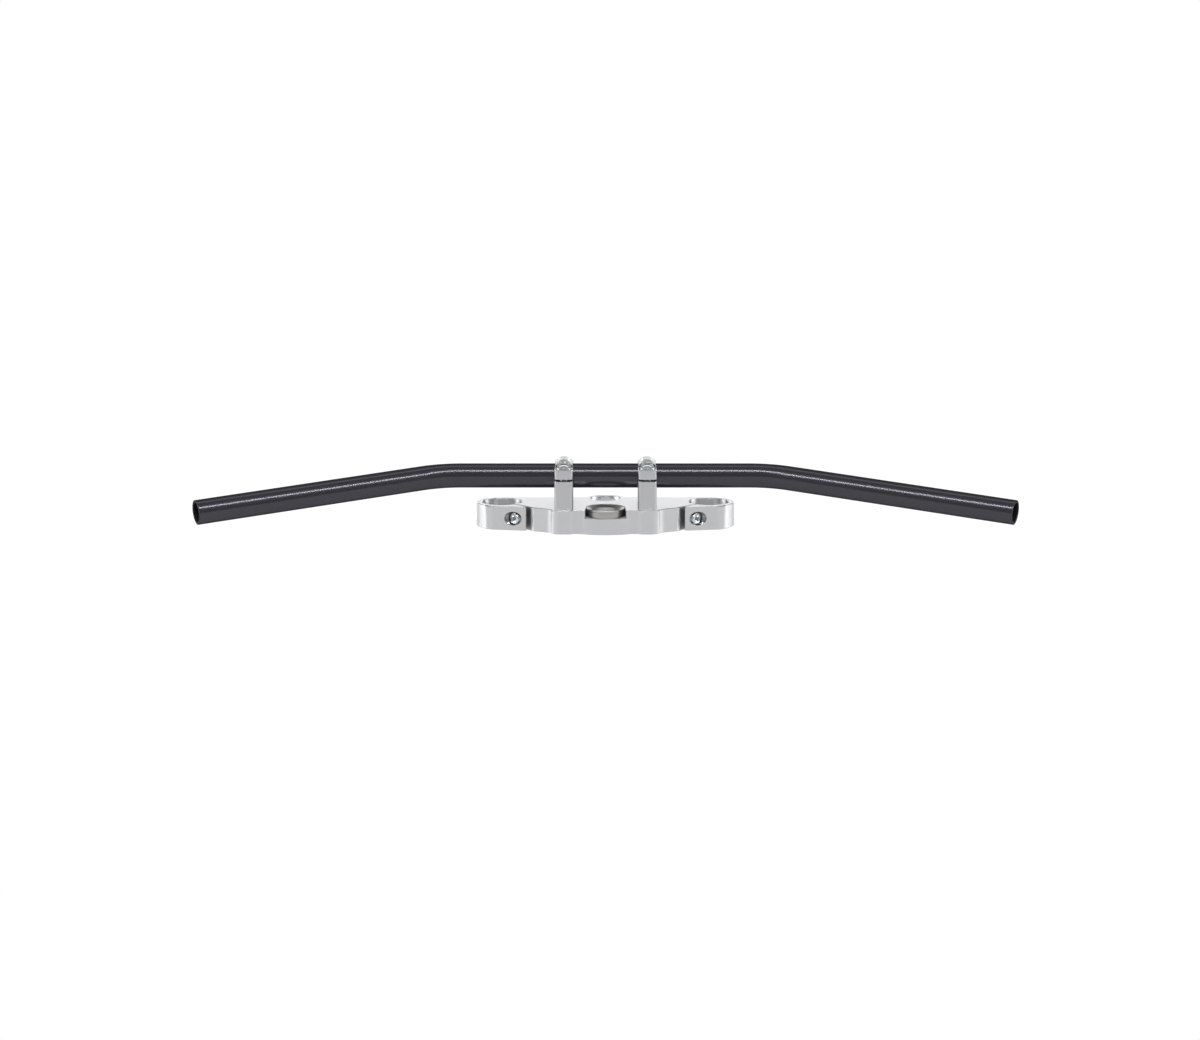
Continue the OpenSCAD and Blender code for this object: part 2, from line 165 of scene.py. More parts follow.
@dataclass(frozen=True)
class MilledAluminium(Finish):
    """Aluminium plate, milled and satin anodised.

    The cutter leaves fine level lines on the walls, which draw every reflection out into an upright band, and
    wide faint arcs on the tops. The lines are about 0.1 mm apart on the real piece and are drawn four times as
    coarse, so that they still work at the render's scale.
    """

    sweep_centre_mm: tuple[float, float] = (-60.0, -420.0)
    sweep_mm: float = 1.6
    sweep_depth: float = 0.06
    stretch: float = 0.7
    top_normal: float = 0.9

    def is_top(self, tree: bpy.types.NodeTree, coords: bpy.types.Node) -> bpy.types.NodeSocket:
        """Is the surface level?"""
        facing = add_node(tree, "ShaderNodeSeparateXYZ", {0: coords.outputs["Normal"]})
        level = add_node(tree, "ShaderNodeMath", {0: facing.outputs["Z"]}, operation="ABSOLUTE")
        top = add_node(
            tree, "ShaderNodeMath", {0: level.outputs[0], 1: self.top_normal}, operation="GREATER_THAN",
        )
        return top.outputs[0]

    def marks(self, tree: bpy.types.NodeTree) -> bpy.types.NodeSocket:
        """Level lines on the walls and shallow arcs on the tops."""
        coords = add_node(tree, "ShaderNodeTexCoord")
        place = add_node(tree, "ShaderNodeSeparateXYZ", {0: coords.outputs["Object"]})
        soft = {"Detail": 1.0, "Roughness": 0.4}
        walls = add_node(
            tree, "ShaderNodeTexNoise",
            {"W": place.outputs["Z"], "Scale": 1 / (self.mark_mm * MM), **soft}, noise_dimensions="1D",
        )
        centre = (self.sweep_centre_mm[0] * MM, self.sweep_centre_mm[1] * MM, 0.0)
        flat = add_node(
            tree, "ShaderNodeVectorMath",
            {0: coords.outputs["Object"], 1: (1.0, 1.0, 0.0)}, operation="MULTIPLY",
        )
        reach = add_node(
            tree, "ShaderNodeVectorMath", {0: flat.outputs[0], 1: centre}, operation="DISTANCE",
        )
        arcs = add_node(
            tree, "ShaderNodeTexNoise",
            {"W": reach.outputs["Value"], "Scale": 1 / (self.sweep_mm * MM), **soft}, noise_dimensions="1D",
        )
        shallow = add_node(
            tree, "ShaderNodeMapRange",
            {"Value": arcs.outputs[0], 3: 0.5 - self.sweep_depth / 2, 4: 0.5 + self.sweep_depth / 2},
        )
        both = add_node(
            tree, "ShaderNodeMix",
            {"Factor": self.is_top(tree, coords), 2: walls.outputs[0], 3: shallow.outputs[0]},
            data_type="FLOAT",
        )
        return both.outputs[0]

    def adjust(self, tree: bpy.types.NodeTree, shader: bpy.types.Node) -> None:
        """Draws reflections out across the cutter's lines: upright on walls, front to back on tops."""
        coords = add_node(tree, "ShaderNodeTexCoord")
        across = add_node(
            tree, "ShaderNodeMix",
            {"Factor": self.is_top(tree, coords), 4: (0.0, 0.0, 1.0), 5: (0.0, 1.0, 0.0)},
            data_type="VECTOR",
        )
        shader.inputs["Anisotropic"].default_value = self.stretch
        tree.links.new(across.outputs[1], shader.inputs["Tangent"])


@dataclass(frozen=True)
class TurnedSteel(Finish):
    """Steel turned on a lathe, with fine rings round the stem's axis that catch the light in bands."""

    def marks(self, tree: bpy.types.NodeTree) -> bpy.types.NodeSocket:
        """Rings round the origin's upright axis, on flats and walls alike."""
        coords = add_node(tree, "ShaderNodeTexCoord")
        flat = add_node(
            tree, "ShaderNodeVectorMath",
            {0: coords.outputs["Object"], 1: (1.0, 1.0, 0.0)}, operation="MULTIPLY",
        )
        radius = add_node(tree, "ShaderNodeVectorMath", {0: flat.outputs[0]}, operation="LENGTH")
        height = add_node(tree, "ShaderNodeSeparateXYZ", {0: coords.outputs["Object"]})
        along = add_node(
            tree, "ShaderNodeMath", {0: radius.outputs["Value"], 1: height.outputs["Z"]}, operation="ADD",
        )
        rings = add_node(
            tree, "ShaderNodeTexNoise",
            {"W": along.outputs[0], "Scale": 1 / (self.mark_mm * MM), "Detail": 2.0},
            noise_dimensions="1D",
        )
        return rings.outputs[0]


@dataclass(frozen=True)
class GrainedFinish(Finish):
    """A surface with a fine even grain, such as zinc plating or hard anodising."""

    specular: float = 0.5
    edge_tint: float = 1.0

    def marks(self, tree: bpy.types.NodeTree) -> bpy.types.NodeSocket:
        """Even noise at the grain's size."""
        coords = add_node(tree, "ShaderNodeTexCoord")
        grain = add_node(
            tree, "ShaderNodeTexNoise",
            {"Vector": coords.outputs["Object"], "Scale": 1 / (self.mark_mm * MM), "Detail": 2.0},
        )
        return grain.outputs[0]

    def adjust(self, tree: bpy.types.NodeTree, shader: bpy.types.Node) -> None:
        """Sets the sheen's strength, and how far it brightens at a glancing angle."""
        shader.inputs["Specular IOR Level"].default_value = self.specular
        shader.inputs["Specular Tint"].default_value = (self.edge_tint, self.edge_tint, self.edge_tint, 1.0)


class Finishes(Enum):
    """The finishes of the pieces."""

    # Milled 6082 plate under clear satin anodising: soft silver, with upright bands where a wall turns
    MILLED_ALUMINIUM = MilledAluminium(
        "satin_anodised_milled_aluminium", "milled_aluminium", "#c2c3c4", "#bdbebf", roughness=0.32,
    )
    # The same plate where a boring bar has cut it, with long upright streaks; its lighter tone is painted
    # light that brightens the bore walls, where shade falls
    BORED_ALUMINIUM = MilledAluminium(
        "bore_wall_aluminium_painted_light", "milled_aluminium", "#cbcccd", "#c3c4c5", roughness=0.36, stretch=0.85,
    )
    # The same plate where a face mill has swept its top, with wide faint arcs; its palest tone is painted
    # light, the tops drawn paler for the light that falls on them
    FACED_ALUMINIUM = MilledAluminium(
        "top_face_aluminium_painted_light", "milled_aluminium", "#e8e9ea", "#e3e4e5", roughness=0.32,
    )
    # The risers and caps, milled from bar: a shade deeper than the yoke that they stand before
    BLOCK_ALUMINIUM = MilledAluminium(
        "satin_anodised_block_aluminium", "milled_aluminium", "#b7b8b9", "#b2b3b4", roughness=0.30,
    )
    # Turned carbon steel, oiled: warmer and darker than the aluminium, with rings that band the light
    TURNED_STEEL = TurnedSteel(
        "turned_carbon_steel", "turned_steel", "#aeadab", "#949391", roughness=0.34, roughness_swing=0.04,
        mark_mm=0.5, mark_depth_mm=0.008,
    )
    # Bright zinc plate on cold headed screws: mirror-like, with a cool cast
    ZINC_PLATE = GrainedFinish(
        "bright_zinc_plated_steel", "bright_steel", "#ccd0d3", "#c0c5c9", roughness=0.14, roughness_swing=0.03,
        mark_mm=0.6, mark_depth_mm=0.001,
    )
    # Black hard anodising on a drawn tube: charcoal with a metal's sheen; its low edge tint is painted shade
    # that keeps the glancing rims dark
    BLACK_ANODISED = GrainedFinish(
        "black_hard_anodised_tube", "bar_coating", "#434348", "#3f3f44", roughness=0.20,
        mark_mm=1.4, mark_depth_mm=0.0006, metallic=0.8, specular=0.0, edge_tint=0.4,
    )


def deselect() -> None:
    """Leaves edit mode and deselects every object."""
    if bpy.context.mode != "OBJECT":
        bpy.ops.object.mode_set(mode="OBJECT")
    bpy.ops.object.select_all(action="DESELECT")


def activate(piece: bpy.types.Object) -> None:
    """Makes one object the only selected one and the active one."""
    deselect()
    piece.select_set(True)
    bpy.context.view_layer.objects.active = piece


def apply_modifier(piece: bpy.types.Object, kind: str, **settings: object) -> None:
    """Adds a modifier with its settings and applies it.

    Args:
        piece: The object that takes the modifier.
        kind: The modifier's type, such as BEVEL.
        settings: The modifier's properties.
    """
    activate(piece)
    modifier = piece.modifiers.new(kind.lower(), kind)
    for key, value in settings.items():
        setattr(modifier, key, value)
    bpy.ops.object.modifier_apply(modifier=modifier.name)


def dress(piece: bpy.types.Object, finish: Finishes, *nodes: str, smooth_deg: float = 32.0) -> None:
    """Smooths a finished piece, gives it its finish and fixes it to the frame.

    Args:
        piece: The finished object.
        finish: Its finish.
        nodes: The frame's nodes that it stands for.
        smooth_deg: Faces that meet at less than this angle are shaded as one.
    """
    activate(piece)
    bpy.ops.object.shade_smooth_by_angle(angle=math.radians(smooth_deg))
    apply_modifier(piece, "WEIGHTED_NORMAL", keep_sharp=True)
    piece.data.materials.clear()
    piece.data.materials.append(finish.value.material())
    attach(piece, BODY)
    if nodes:
        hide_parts(*nodes)
    LOG.info("%s: %d faces", piece.name, len(piece.data.polygons))


def refinish(piece: bpy.types.Object, finish: Finishes, wanted: Callable[[Vector], bool]) -> None:
    """Gives some faces of a dressed piece another finish.

    Args:
        piece: The dressed object.
        finish: The other finish.
        wanted: Says whether a face has it, from its middle in millimetres.
    """
    piece.data.materials.append(finish.value.material())
    for face in piece.data.polygons:
        if wanted(face.center / MM):
            face.material_index = len(piece.data.materials) - 1


def merged_copy(node: str, name: str) -> bpy.types.Object:
    """Copies a frame node as one connected mesh with whole flat faces.

    Args:
        node: The frame's node.
        name: The new object's name.

    Returns:
        The copy, with its place in its mesh.
    """
    weld_mm = 0.0005
    flat_deg = 0.4
    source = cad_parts[node]
    piece = bpy.data.objects.new(name, source.data.copy())
    bpy.context.scene.collection.objects.link(piece)
    activate(piece)
    if piece.data.has_custom_normals:
        bpy.ops.mesh.customdata_custom_splitnormals_clear()
    bpy.ops.object.mode_set(mode="EDIT")
    bpy.ops.mesh.select_all(action="SELECT")
    bpy.ops.mesh.remove_doubles(threshold=weld_mm * MM)
    bpy.ops.mesh.dissolve_limited(angle_limit=math.radians(flat_deg))
    bpy.ops.object.mode_set(mode="OBJECT")
    return piece


def bevel_edges(
    piece: bpy.types.Object,
    width_mm: float,
    wanted: Callable[[bmesh.types.BMEdge], bool],
    segments: int,
    sharp_deg: float = 35.0,
    clamp: bool = False,
) -> None:
    """Rounds the sharp edges that a test picks out.

    Args:
        piece: The object whose mesh is changed.
        width_mm: Distance from the edge at which the round starts.
        wanted: Says whether a sharp edge is rounded, from its place.
        segments: Number of faces across the round.
        sharp_deg: Edges flatter than this are left alone.
        clamp: Keeps a round from running past its neighbours, at the cost of its width.
    """
    activate(piece)
    bpy.ops.object.mode_set(mode="EDIT")
    bpy.ops.mesh.select_mode(type="EDGE")
    bpy.ops.mesh.select_all(action="DESELECT")
    mesh = bmesh.from_edit_mesh(piece.data)
    for edge in mesh.edges:
        if edge.is_manifold and edge.calc_face_angle(0.0) > math.radians(sharp_deg) and wanted(edge):
            edge.select_set(True)
    bmesh.update_edit_mesh(piece.data)
    bpy.ops.mesh.bevel(
        offset=width_mm * MM, segments=segments, profile=ROUND_PROFILE, clamp_overlap=clamp, loop_slide=False,
        affect="EDGES",
    )
    bpy.ops.object.mode_set(mode="OBJECT")


@dataclass(frozen=True)
class Corner:
    """An upright corner of an outline whose round is drawn anew. Sizes in millimetres."""

    low: tuple[float, float]
    high: tuple[float, float]
    place: tuple[float, float]
    run: float
    segments: int = 10

    def mirrored(self) -> "Corner":
        """The same corner on the other side of the middle."""
        return Corner(
            (-self.high[0], self.low[1]), (-self.low[0], self.high[1]), (-self.place[0], self.place[1]),
            self.run, self.segments,
        )

    def holds(self, at: Vector) -> bool:
        """Is a point on the old round?"""
        return self.low[0] <= at.x <= self.high[0] and self.low[1] <= at.y <= self.high[1]

    def redraw(self, piece: bpy.types.Object, heights: Sequence[float]) -> None:
        """Gathers the old round to a sharp upright edge, moves that to its place, and rounds it.

        Args:
            piece: The object whose mesh is changed.
            heights: Heights of the edge's two ends.
        """
        activate(piece)
        bpy.ops.object.mode_set(mode="EDIT")
        bpy.ops.mesh.select_mode(type="VERT")
        for height in heights:
            bpy.ops.mesh.select_all(action="DESELECT")
            mesh = bmesh.from_edit_mesh(piece.data)
            for vert in mesh.verts:
                at = vert.co / MM
                vert.select_set(abs(at.z - height) < NEAR_MM and self.holds(at))
            bmesh.update_edit_mesh(piece.data)
            bpy.ops.mesh.merge(type="CENTER")
            mesh = bmesh.from_edit_mesh(piece.data)
            gathered = next(vert.co.copy() for vert in mesh.verts if vert.select)
            bpy.ops.transform.translate(value=Vector((*self.place, height)) * MM - gathered)
        bpy.ops.mesh.select_mode(type="EDGE")
        bpy.ops.mesh.select_all(action="DESELECT")
        mesh = bmesh.from_edit_mesh(piece.data)
        for edge in mesh.edges:
            at = middle_mm(edge)
            if is_upright(edge) and math.hypot(at.x - self.place[0], at.y - self.place[1]) < NEAR_MM:
                edge.select_set(True)
        bmesh.update_edit_mesh(piece.data)
        bpy.ops.mesh.bevel(
            offset=self.run * MM, segments=self.segments, profile=ROUND_PROFILE, clamp_overlap=False,
            loop_slide=False, affect="EDGES",
        )
        bpy.ops.object.mode_set(mode="OBJECT")


def middle_mm(edge: bmesh.types.BMEdge) -> Vector:
    """Middle of an edge, in millimetres."""
    return (edge.verts[0].co + edge.verts[1].co) / (2 * MM)


def is_upright(edge: bmesh.types.BMEdge) -> bool:
    """Does an edge run straight up?"""
    run = edge.verts[1].co - edge.verts[0].co
    return math.hypot(run.x, run.y) < NEAR_MM * MM


def arc_points(
    centre: tuple[float, float], radius: float, start_deg: float, end_deg: float, steps: int = 4,
) -> list[tuple[float, float]]:
    """Gives points of a round in a turned profile.

    Args:
        centre: Radius and height of the round's centre.
        radius: The round's own radius.
        start_deg: Where it starts, from straight out.
        end_deg: Where it ends.
        steps: Number of pieces.

    Returns:
        Points of radius and height.
    """
    angles = (math.radians(start_deg + (end_deg - start_deg) * i / steps) for i in range(steps + 1))
    return [(centre[0] + radius * math.cos(a), centre[1] + radius * math.sin(a)) for a in angles]


def grow_rings(start: tuple[float, float], rings: Sequence[tuple[float, float]]) -> None:
    """Extrudes the selected ring through a turned profile round the upright axis.

    Args:
        start: The ring's radius and height in millimetres.
        rings: Radius and height of each next ring.
    """
    radius, height = start
    for next_radius, next_height in rings:
        rise = (next_height - height) * MM
        bpy.ops.mesh.extrude_region_move(TRANSFORM_OT_translate={"value": (0.0, 0.0, rise)})
        ratio = next_radius / radius
        if abs(ratio - 1) > 1e-9:
            bpy.ops.transform.resize(value=(ratio, ratio, 1.0), center_override=(0.0, 0.0, 0.0))
        radius, height = next_radius, next_height


def start_ring(name: str, radius: float, height: float, sides: int) -> bpy.types.Object:
    """Adds a ring round the upright axis and opens it in edit mode, selected.

    Args:
        name: The new object's name.
        radius: The ring's radius in millimetres.
        height: Its height in millimetres.
        sides: Its number of points.

    Returns:
        The new object.
    """
    deselect()
    bpy.ops.mesh.primitive_circle_add(
        vertices=sides, radius=radius * MM, location=(0.0, 0.0, height * MM),
    )
    ring = bpy.context.object
    ring.name = name
    bpy.ops.object.transform_apply(location=True, rotation=True, scale=True)
    bpy.ops.object.mode_set(mode="EDIT")
    bpy.ops.mesh.select_all(action="SELECT")
    return ring


def finish_turning(piece: bpy.types.Object) -> bpy.types.Object:
    """Closes a turned piece and points its faces outwards."""
    bpy.ops.mesh.select_all(action="SELECT")
    bpy.ops.mesh.remove_doubles(threshold=MERGE)
    bpy.ops.mesh.normals_make_consistent(inside=False)
    bpy.ops.object.mode_set(mode="OBJECT")
    return piece


def turned_ring(name: str, profile: Sequence[tuple[float, float]], sides: int = 96) -> bpy.types.Object:
    """Turns a ring-shaped piece from a closed profile.

    Args:
        name: The new object's name.
        profile: Radius and height of each corner, in order round the section.
        sides: Number of faces round the piece.

    Returns:
        The closed piece.
    """
    piece = start_ring(name, *profile[0], sides)
    grow_rings(profile[0], [*profile[1:], profile[0]])
    return finish_turning(piece)


def placed_copy(piece: bpy.types.Object, name: str, place: Matrix) -> bpy.types.Object:
    """Copies a piece with its own mesh and moves the copy's mesh to its place.

    Args:
        piece: The piece that is repeated.
        name: The copy's name.
        place: Where the copy stands.

    Returns:
        The copy, with its object at the origin.
    """
    copy = bpy.data.objects.new(name, piece.data.copy())
    bpy.context.scene.collection.objects.link(copy)
    copy.matrix_world = place
    activate(copy)
    bpy.ops.object.transform_apply(location=True, rotation=True, scale=True)
    return copy


@dataclass(frozen=True)
class Screw:
    """A screw with a hexagon socket and a cut thread, upright on its seat. Sizes in millimetres."""

    name: str
    thread_d: float
    length: float
    pitch: float
    head_d: float
    head_h: float
    across: float
    domed: bool
    socket_depth: float = 2.6
    rim_h: float = 0.6
    neck: float = 1.4
    edge_round: float = 0.18
    tip_chamfer: float = 0.6
    dome_steps: int = 8
    dome_mouth: float = 0.2
    flat_mouth: float = 0.25
    head_round: float = 0.5
    side_points: int = 7
    # Depth of the thread, and places of its root and crest along one turn, in pitches
    thread_depth: float = 0.61
    root_from: float = 0.45
    root_to: float = 0.55
    crest_from: float = 0.95
    crest_to: float = 1.05

    @property
    def mouth_r(self) -> float:
        """Distance of the socket's corners from the axis."""
        return self.across / 2 / math.cos(math.radians(30))

    def head_rings(self) -> list[tuple[float, float]]:
        """Rings of the head, from the socket's mouth out to the rim and in under it."""
        half = self.head_d / 2
        if self.domed:
            dome_h = self.head_h - self.rim_h
            dome_r = (half * half + dome_h * dome_h) / (2 * dome_h)
            step = (half - self.mouth_r) / self.dome_steps
            radii = [self.mouth_r + step * i for i in range(self.dome_steps + 1)]
            radii[0] += self.dome_mouth
            top = [(r, self.head_h - dome_r + math.sqrt(dome_r * dome_r - r * r)) for r in radii]
        else:
            mouth = (self.mouth_r + self.flat_mouth, self.head_h)
            turn = (half - self.head_round, self.head_h - self.head_round)
            top = [mouth, *arc_points(turn, self.head_round, 90, 0)]
        return [*top, (half, self.edge_round), (half - self.edge_round, 0.0)]

    def shank_rings(self) -> list[tuple[float, float]]:
        """Rings of the plain neck and the thread, drawn as one ring to each turn."""
        crest = self.thread_d / 2
        root = crest - self.thread_depth * self.pitch
        rings = [(crest, 0.0), (crest, -self.neck)]
        height = -self.neck
        while height - self.pitch > self.tip_chamfer - self.length:
            rings += [
                (root, height - self.root_from * self.pitch), (root, height - self.root_to * self.pitch),
                (crest, height - self.crest_from * self.pitch), (crest, height - self.crest_to * self.pitch),
            ]
            height -= self.pitch
        return [*rings, (crest - self.tip_chamfer, -self.length)]

    def build(self) -> bpy.types.Object:
        """Draws the socket from a hexagon, rounds its rim into the head, and runs on down the shank.

        Returns:
            The closed screw, with its seat at the origin.
        """
        mouth_z = self.head_rings()[0][1] - self.edge_round
        screw = start_ring(self.name, self.mouth_r, mouth_z, sides=6)
        bpy.ops.mesh.subdivide(number_cuts=self.side_points)
        drop = (self.head_h - self.socket_depth - mouth_z) * MM
        bpy.ops.mesh.extrude_region_move(TRANSFORM_OT_translate={"value": (0.0, 0.0, drop)})
        bpy.ops.mesh.edge_face_add()
        bpy.ops.mesh.select_mode(type="EDGE")
        bpy.ops.mesh.select_all(action="DESELECT")
        mesh = bmesh.from_edit_mesh(screw.data)
        for edge in mesh.edges:
            edge.select_set(all(vert.co.z > (mouth_z - NEAR_MM) * MM for vert in edge.verts))
        bmesh.update_edit_mesh(screw.data)
        rise = self.edge_round * MM
        bpy.ops.mesh.extrude_region_move(TRANSFORM_OT_translate={"value": (0.0, 0.0, rise)})
        bpy.ops.transform.tosphere(value=1.0)
        mesh = bmesh.from_edit_mesh(screw.data)
        radius = next(math.hypot(vert.co.x, vert.co.y) for vert in mesh.verts if vert.select) / MM
        first, *rest = [*self.head_rings(), *self.shank_rings()]
        ratio = first[0] / radius
        bpy.ops.transform.resize(value=(ratio, ratio, 1.0), center_override=(0.0, 0.0, 0.0))
        grow_rings(first, rest)
        bpy.ops.mesh.edge_face_add()
        return finish_turning(screw)


@dataclass(frozen=True)
class StemBush:
    """The turned bush in the yoke's pocket: countersunk, with a rounded lip and a shallow groove.

    Sizes are in millimetres.
    """

    bore_r: float = 13.0
    sleeve_r: float = 15.0
    flange_r: float = 17.5
    height: float = 22.0
    flange_h: float = 7.4
    lip: float = 1.0
    edge: float = 0.3
    groove_z: float = 19.6
    mouth_r: float = 16.0
    mouth_depth: float = 2.1

    def build(self) -> None:
        """Turns the bush from its section and dresses it."""
        under = self.height - self.flange_h
        lip_z = self.height - self.lip
        depth = self.edge
        section = [
            (self.bore_r + self.edge, 0.0), (self.sleeve_r - self.edge, 0.0), (self.sleeve_r, self.edge),
            (self.sleeve_r, under), (self.flange_r - self.edge, under), (self.flange_r, under + self.edge),
            (self.flange_r, self.groove_z - depth), (self.flange_r - depth, self.groove_z),
            (self.flange_r - depth, self.groove_z + depth), (self.flange_r, self.groove_z + 2 * depth),
            *arc_points((self.flange_r - self.lip, lip_z), self.lip, 0, 90),
            (self.mouth_r, self.height), (self.bore_r, self.height - self.mouth_depth),
            (self.bore_r, self.edge),
        ]
        bush = turned_ring("turned_stem_bush", section)
        dress(bush, Finishes.TURNED_STEEL, "stem_bush", smooth_deg=50.0)
        # The bore's wall takes the bore finish, whose lighter tone is painted light in the shaded hole
        refinish(bush, Finishes.BORED_ALUMINIUM, self.is_bore_wall_painted_light)

    def is_bore_wall_painted_light(self, at: Vector) -> bool:
        """Is a face on the wall of the bush's bore? These faces take the bore finish, painted lighter as light
        in the hole.
        """
        return math.hypot(at.x, at.y) < self.bore_r + WALL_MM


@dataclass
class Handlebar:
    """The bent tube, swept as on a tube bender and anodised all over. Sizes in millimetres."""

    outer_r: float = 11.1
    wall: float = 2.5
    corner_span: float = 300.0
    arm_len: float = 231.46
    bend_deg: float = 24.8
    bend_r: float = 86.0
    dip_deg: float = 9.7
    centre: tuple[float, float, float] = (0.0, 15.0, 49.0)
    rim_round: float = 0.4
    sides: int = 96
    bend_steps: int = 20

    @property
    def tangent_len(self) -> float:
        """Length from a corner of the centre line to where its bend starts."""
        return self.bend_r * math.tan(math.radians(self.bend_deg / 2))

    def build(self) -> None:
        """Sweeps half the tube, mirrors it, gives it its wall and rims, and dresses it."""
        deselect()
        straight = (self.corner_span / 2 - self.tangent_len) * MM
        bend = math.radians(self.bend_deg)
        arm = (self.arm_len - self.tangent_len) * MM
        bpy.ops.mesh.primitive_circle_add(
            vertices=self.sides, radius=self.outer_r * MM, rotation=(0.0, math.pi / 2, 0.0),
        )
        tube = bpy.context.object
        tube.name = "handlebar_tube"
        bpy.ops.object.transform_apply(location=True, rotation=True, scale=True)
        bpy.ops.object.mode_set(mode="EDIT")
        bpy.ops.mesh.select_all(action="SELECT")
        bpy.ops.mesh.extrude_region_move(TRANSFORM_OT_translate={"value": (straight, 0.0, 0.0)})
        # With no window, spin turns clockwise round an upward axis
        bpy.ops.mesh.spin(
            steps=self.bend_steps, angle=bend, center=(straight, -self.bend_r * MM, 0.0),
            axis=(0.0, 0.0, 1.0),
        )
        bpy.ops.mesh.extrude_region_move(
            TRANSFORM_OT_translate={"value": (arm * math.cos(bend), -arm * math.sin(bend), 0.0)},
        )
        bpy.ops.mesh.select_all(action="SELECT")
        bpy.ops.mesh.remove_doubles(threshold=MERGE)
        bpy.ops.object.mode_set(mode="OBJECT")
        apply_modifier(
            tube, "MIRROR", use_axis=(True, False, False), use_clip=True, merge_threshold=MERGE,
        )
        self.face_outwards(tube)
        apply_modifier(tube, "SOLIDIFY", thickness=self.wall * MM, offset=-1.0, use_even_offset=True)
        bevel_edges(tube, self.rim_round, lambda edge: True, segments=2, sharp_deg=60.0)
        tube.rotation_euler.x = math.radians(self.dip_deg)
        tube.location = Vector(self.centre) * MM
        activate(tube)
        bpy.ops.object.transform_apply(location=True, rotation=True, scale=True)
        dress(tube, Finishes.BLACK_ANODISED, "handlebar", smooth_deg=30.0)

    def face_outwards(self, tube: bpy.types.Object) -> None:
        """Turns the skin's faces away from the tube's middle, before it has a wall."""
        first = tube.data.polygons[0]
        along = Vector((first.center.x, 0.0, 0.0))
        if first.normal.dot(first.center - along) < 0:
            tube.data.flip_normals()


@dataclass
class Yoke:
    """The top yoke: one milled plate. Sizes in millimetres."""

    thickness: float = 22.0
    pocket_z: float = 14.6
    fork_x: float = 94.75
    fork_y: float = 31.5
    fork_r: float = 18.5
    dial_y: float = 48.5
    dial_r: float = 14.25
    sleeve_r: float = 15.0
    pocket_r: float = 18.25
    bolt_x: float = 37.75
    bolt_y: float = 15.0
    bolt_room_r: float = 10.5
    edge_chamfer: float = 0.6
    sill_round: float = 0.7
    mouth_room: float = 1.0
    # The flanks of the riser bosses turn into the body in one long sweep
    flanks: tuple[Corner, ...] = (
        Corner((-51.15, -7.90), (-49.80, -6.55), (-51.20, -6.563), 4.6),
        Corner((-47.00, -15.65), (-44.60, -14.10), (-45.60, -15.60), 4.8),
    )

    def gaps(self, at: Vector) -> dict[str, float]:
        """Distances of a point from the walls of the holes, seen from above.

        Args:
            at: The point in millimetres.

        Returns:
            The distance for each kind of hole, negative inside it.
        """
        return {
            "fork": math.hypot(abs(at.x) - self.fork_x, at.y - self.fork_y) - self.fork_r,
            "dial": math.hypot(at.x, at.y - self.dial_y) - self.dial_r,
            "stem": math.hypot(at.x, at.y) - self.sleeve_r,
            "bolt": math.hypot(abs(at.x) - self.bolt_x, at.y - self.bolt_y) - self.bolt_room_r,
        }

    def is_level(self, edge: bmesh.types.BMEdge, *heights: float) -> bool:
        """Do both ends of an edge lie at one of some heights?"""
        return all(any(abs(vert.co.z / MM - z) < NEAR_MM for z in heights) for vert in edge.verts)

    def is_outline(self, edge: bmesh.types.BMEdge) -> bool:
        """Is an edge part of the outline of the top or the underside?"""
        outside = min(self.gaps(middle_mm(edge)).values()) >= self.mouth_room
        return self.is_level(edge, 0.0, self.thickness) and not is_upright(edge) and outside

    def is_sill(self, edge: bmesh.types.BMEdge) -> bool:
        """Is an edge the front one of the pocket's floor?"""
        at = middle_mm(edge)
        clear = self.gaps(at)["stem"] > self.mouth_room and at.y < -self.sleeve_r
        return self.is_level(edge, self.pocket_z) and clear

    def is_bore_wall_painted_light(self, at: Vector) -> bool:
        """Is a face on the wall of a fork bore, the dial's recess or the bush's pocket? These faces take the
        bore finish, painted lighter as light in the holes.
        """
        gaps = self.gaps(at)
        in_pocket = math.hypot(at.x, at.y) < self.pocket_r and 0 < at.z < self.thickness - NEAR_MM
        return min(gaps["fork"], gaps["dial"]) < WALL_MM or in_pocket

    def build(self) -> None:
        """Redraws the bosses' flanks, breaks the plate's edges and dresses it."""
        plate = merged_copy("top_yoke", "milled_yoke")
        for corner in self.flanks:
            for one in (corner, corner.mirrored()):
                one.redraw(plate, (0.0, self.thickness))
        bevel_edges(plate, self.edge_chamfer, self.is_outline, segments=1)
        bevel_edges(plate, self.sill_round, self.is_sill, segments=3, clamp=True)
        dress(plate, Finishes.MILLED_ALUMINIUM, "top_yoke")
        # The walls of the bores, the dial's recess and the pocket take a lighter tone: painted light in the
        # shaded holes
        refinish(plate, Finishes.BORED_ALUMINIUM, self.is_bore_wall_painted_light)
        # The top faces take the palest tone: painted light for the brightness they catch from above
        refinish(plate, Finishes.FACED_ALUMINIUM, lambda at: at.z > self.thickness - NEAR_MM)


